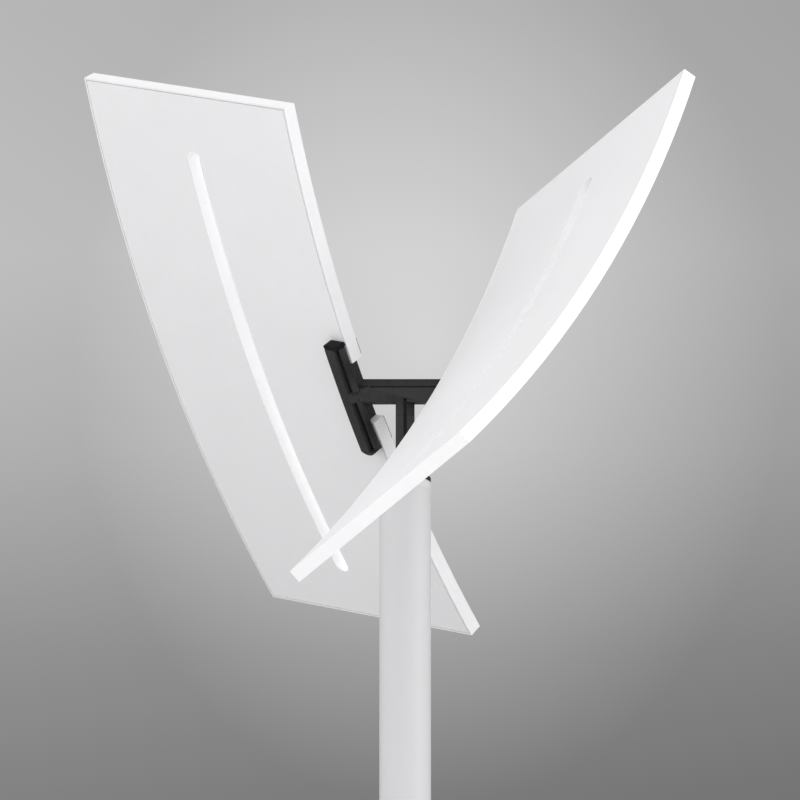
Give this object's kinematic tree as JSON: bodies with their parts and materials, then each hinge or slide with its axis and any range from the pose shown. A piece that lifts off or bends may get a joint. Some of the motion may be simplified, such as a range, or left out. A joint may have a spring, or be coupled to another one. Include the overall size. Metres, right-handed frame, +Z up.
{
  "type": "vertical axis turbine",
  "caption": "Vertical axis turbine with a round mast, a generator in the mast head and a rotor of two large bent, slotted blades on a black cross-arm.",
  "frame": {"origin": "middle of the base plate's underside, on the mast's axis", "axes": "+Z up along the mast and the rotor's axis, +X along the cross-arm towards the blade with no notch, -Y towards the service door"},
  "size_m": [2.0076, 2.7122, 2.8311],
  "materials": {
    "mast_paint": "satin light grey powder coat",
    "bright_steel": "machined",
    "generator_case": "cast and turned",
    "lamination_steel": "varnished",
    "copper_winding": "enamelled",
    "black_plastic": "fine texture",
    "blade_core": "raw light core",
    "blade_edge": "satin white",
    "blade_face": "fine matte texture",
    "bracket_black": "satin black powder coat"
  },
  "bodies": {
    "mast": {"mast_tube": "mast_paint", "base_plate": "mast_paint", "foot_gussets": "mast_paint", "door_cover": "mast_paint", "door_screws": "bright_steel", "head_ring": "mast_paint", "ring_screws": "bright_steel", "gen_case": "generator_case", "gen_lower_shield": "generator_case", "lower_bearing": "bright_steel", "upper_bearing": "bright_steel", "stator_core": "lamination_steel", "windings": "copper_winding", "terminal_box": "black_plastic", "cable_gland": "black_plastic"},
    "rotor": {"shaft": "bright_steel", "magnet_drum": "lamination_steel", "magnets": "lamination_steel", "hub_disc": "bracket_black", "stem_foot": "bracket_black", "foot_bolts": "bracket_black", "hub_stem": "bracket_black", "cross_arm": "bracket_black", "arm_end_a": "bracket_black", "arm_end_b": "bracket_black", "arm_tongue_b": "bracket_black", "knee_a": "bracket_black", "knee_screw_a": "bracket_black", "notch_core_a": "bracket_black", "bar_plate_a": "bracket_black", "bar_web_a": "bracket_black", "bar_rod_a": "bracket_black", "bar_cap_a": "bracket_black", "bar_foot_a": "bracket_black", "rear_plates_a": "bracket_black", "rear_nuts_a": "bright_steel", "clamp_b": "bracket_black", "clamp_screws_b": "bright_steel", "bar_plate_b": "bracket_black", "bar_web_b": "bracket_black", "bar_rod_b": "bracket_black", "bar_cap_b": "bracket_black", "bar_foot_b": "bracket_black", "blade_core_a": "blade_core", "blade_trim_a": "blade_edge", "outer_skin_a": "blade_face", "inner_skin_a": "blade_face", "slot_liner_a": "blade_edge", "blade_core_b": "blade_core", "blade_trim_b": "blade_edge", "outer_skin_b": "blade_face", "inner_skin_b": "blade_face", "slot_liner_b": "blade_edge"}
  },
  "joints": [
    {"name": "rotor_spin", "type": "hinge", "parent": "mast", "child": "rotor", "pos_m": [0, 0, 1.45], "axis": [0, 0, 1], "continuous": true}
  ]
}
